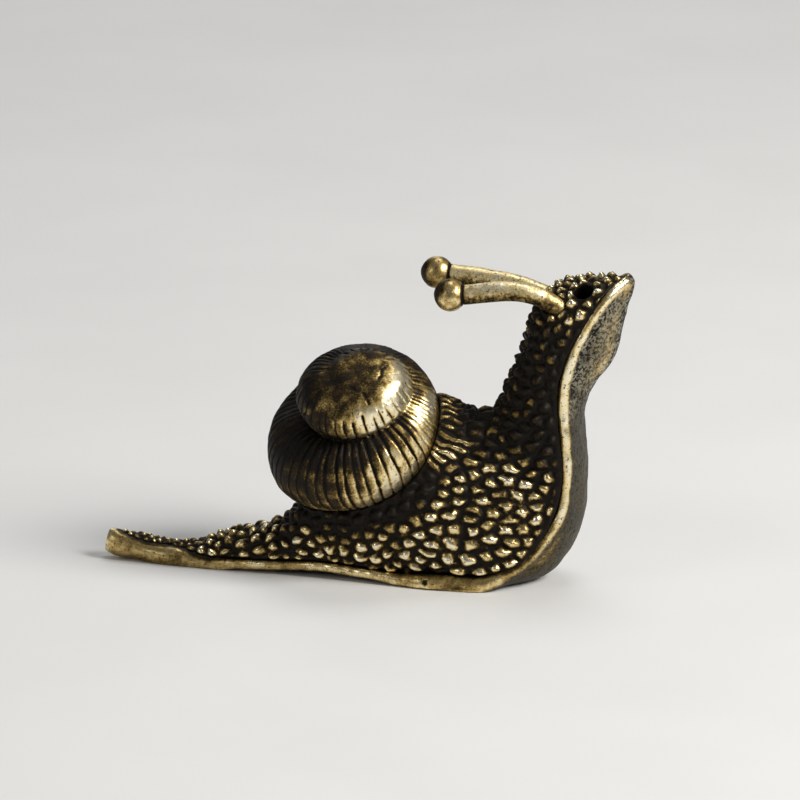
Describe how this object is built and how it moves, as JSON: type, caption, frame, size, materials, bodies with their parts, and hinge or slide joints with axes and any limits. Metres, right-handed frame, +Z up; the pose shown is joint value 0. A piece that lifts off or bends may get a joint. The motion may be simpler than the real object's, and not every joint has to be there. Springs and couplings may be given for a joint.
{
  "type": "snail figurine",
  "caption": "Small rearing brass snail: curved foot plate, pebbled body and neck, ribbed turban shell, swept-back eye stalks with ball ends and a blind stick hole in the crown.",
  "frame": {"origin": "on the ground, under the middle of the ornament's bounding box", "axes": "+Z up, +X from the tail towards the head, +Y to the snail's left"},
  "size_m": [0.0536, 0.0182, 0.0317],
  "materials": {
    "antique_brass": "antiqued, rubbed bright on the raised beads, near black in the hollows",
    "rubbed_brass": "antiqued, rubbed bright along the rim, dull and speckled on the flat",
    "shell_brass": "antiqued, rubbed bright on the ribs, near black in the grooves",
    "plain_brass": "plain cast",
    "polished_brass": "rubbed bright with dark pits"
  },
  "bodies": {
    "root": {"body": "antique_brass", "foot_sole": "rubbed_brass", "shell": "shell_brass", "shell_peg": "plain_brass", "right_eye_stalk": "polished_brass", "left_eye_stalk": "polished_brass", "right_eye_ball": "polished_brass", "left_eye_ball": "polished_brass"}
  },
  "joints": []
}
